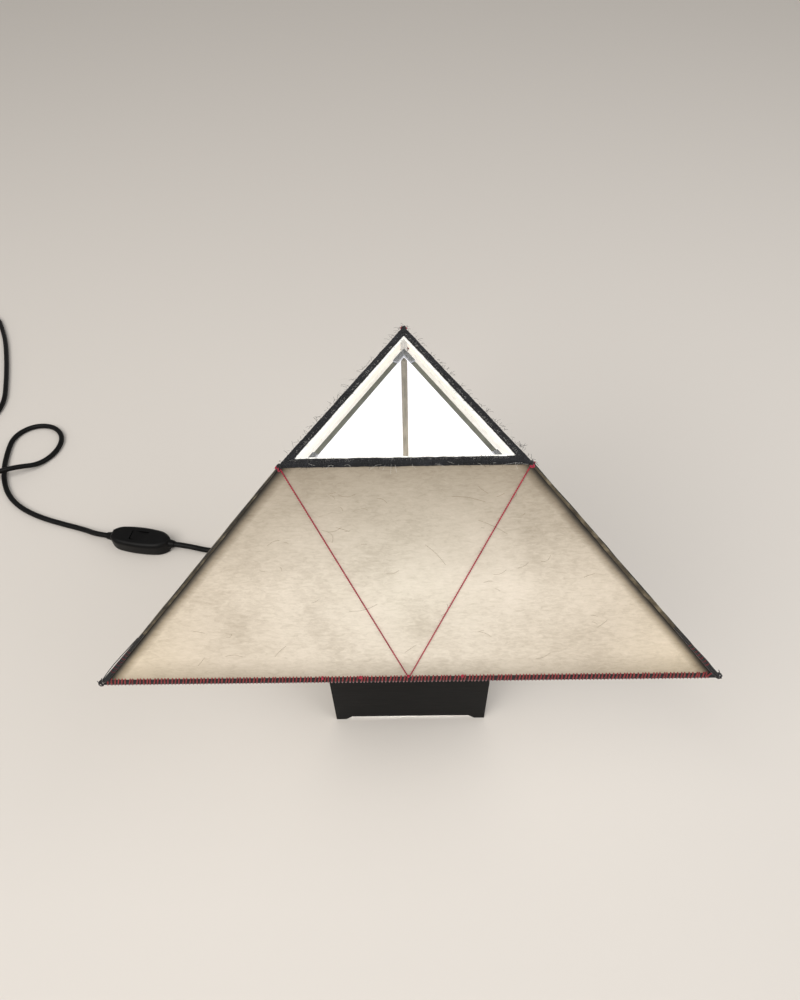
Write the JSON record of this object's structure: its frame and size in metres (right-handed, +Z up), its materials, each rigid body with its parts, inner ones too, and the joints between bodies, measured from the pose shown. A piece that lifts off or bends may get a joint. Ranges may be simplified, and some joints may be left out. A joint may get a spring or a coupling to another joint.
{
  "type": "table lamp",
  "caption": "Triangular paper shade hung on a triangular opal column in a black base, with a free cord, inline rocker switch and plug.",
  "frame": {"origin": "on the table, under the centre of the shade's bounding box; the column's axis stands 49.6 mm in front of it", "axes": "+Z up, -Y towards the flat front wall of the column and shade, +X to the right along that wall"},
  "size_m": [0.7741, 0.6198, 0.3107],
  "materials": {
    "black_board": "satin",
    "pale_wood": "matte",
    "plated_steel": "satin",
    "opal_acrylic": "translucent satin",
    "clear_plastic": "gloss",
    "porcelain": "matte",
    "nickel_brass": "satin",
    "bulb_metal": "satin",
    "black_glass": "gloss",
    "frosted_glass": "frosted",
    "black_pvc": "satin",
    "black_thermoplastic": "satin",
    "shade_wire": "satin",
    "shade_paper": "matte, fibrous",
    "white_paper": "matte",
    "black_felt": "matte",
    "red_thread": "matte"
  },
  "bodies": {
    "base": {"base_panel_front": "black_board", "base_panel_right": "black_board", "base_panel_left": "black_board", "corner_cleat_back": "pale_wood", "corner_cleat_left": "pale_wood", "corner_cleat_right": "pale_wood", "holder_spider": "plated_steel", "plate_screws": "plated_steel", "diffuser_front": "opal_acrylic", "diffuser_right": "opal_acrylic", "diffuser_left": "opal_acrylic", "corner_rod_back": "pale_wood", "corner_rod_left": "pale_wood", "corner_rod_right": "pale_wood", "hanger_back": "clear_plastic", "hanger_left": "clear_plastic", "hanger_right": "clear_plastic", "nipple": "plated_steel", "nipple_nut": "plated_steel", "holder_cup": "black_thermoplastic", "holder_shell": "black_thermoplastic", "holder_insert": "porcelain", "socket_sleeve": "nickel_brass", "centre_contact": "nickel_brass", "bulb_tip": "black_glass", "bulb_cap": "bulb_metal", "bulb_glass": "frosted_glass", "inner_lead": "black_pvc", "cord_gland": "black_thermoplastic", "cord_to_switch": "black_pvc", "switch_bottom": "black_thermoplastic", "switch_top": "black_thermoplastic", "switch_screws": "plated_steel", "cord_loop": "black_pvc", "cord_coil": "black_pvc", "cord_to_plug": "black_pvc", "plug_relief": "black_thermoplastic", "plug_body": "black_thermoplastic", "plug_pins": "nickel_brass"},
    "shade": {"shade_top_ring": "shade_wire", "shade_bottom_ring": "shade_wire", "strut_back": "shade_wire", "strut_left": "shade_wire", "strut_right": "shade_wire", "paper_front": "shade_paper", "paper_right": "shade_paper", "paper_left": "shade_paper", "top_lining": "white_paper", "top_band": "black_felt", "hem_front": "black_felt", "hem_right": "black_felt", "hem_left": "black_felt", "thread_front": "red_thread", "thread_right": "red_thread", "thread_left": "red_thread"},
    "rocker": {"switch_rocker": "black_thermoplastic"}
  },
  "joints": [
    {"name": "shade_lift", "type": "slide", "parent": "base", "child": "shade", "axis": [0, 0, 1], "range_m": [0, 0.12]},
    {"name": "rocker_tip", "type": "hinge", "parent": "base", "child": "rocker", "pos_m": [-0.257, 0.09538, 0.0108], "axis": [-0.1709, -0.9853, 0], "range_deg": [0, 14]}
  ]
}
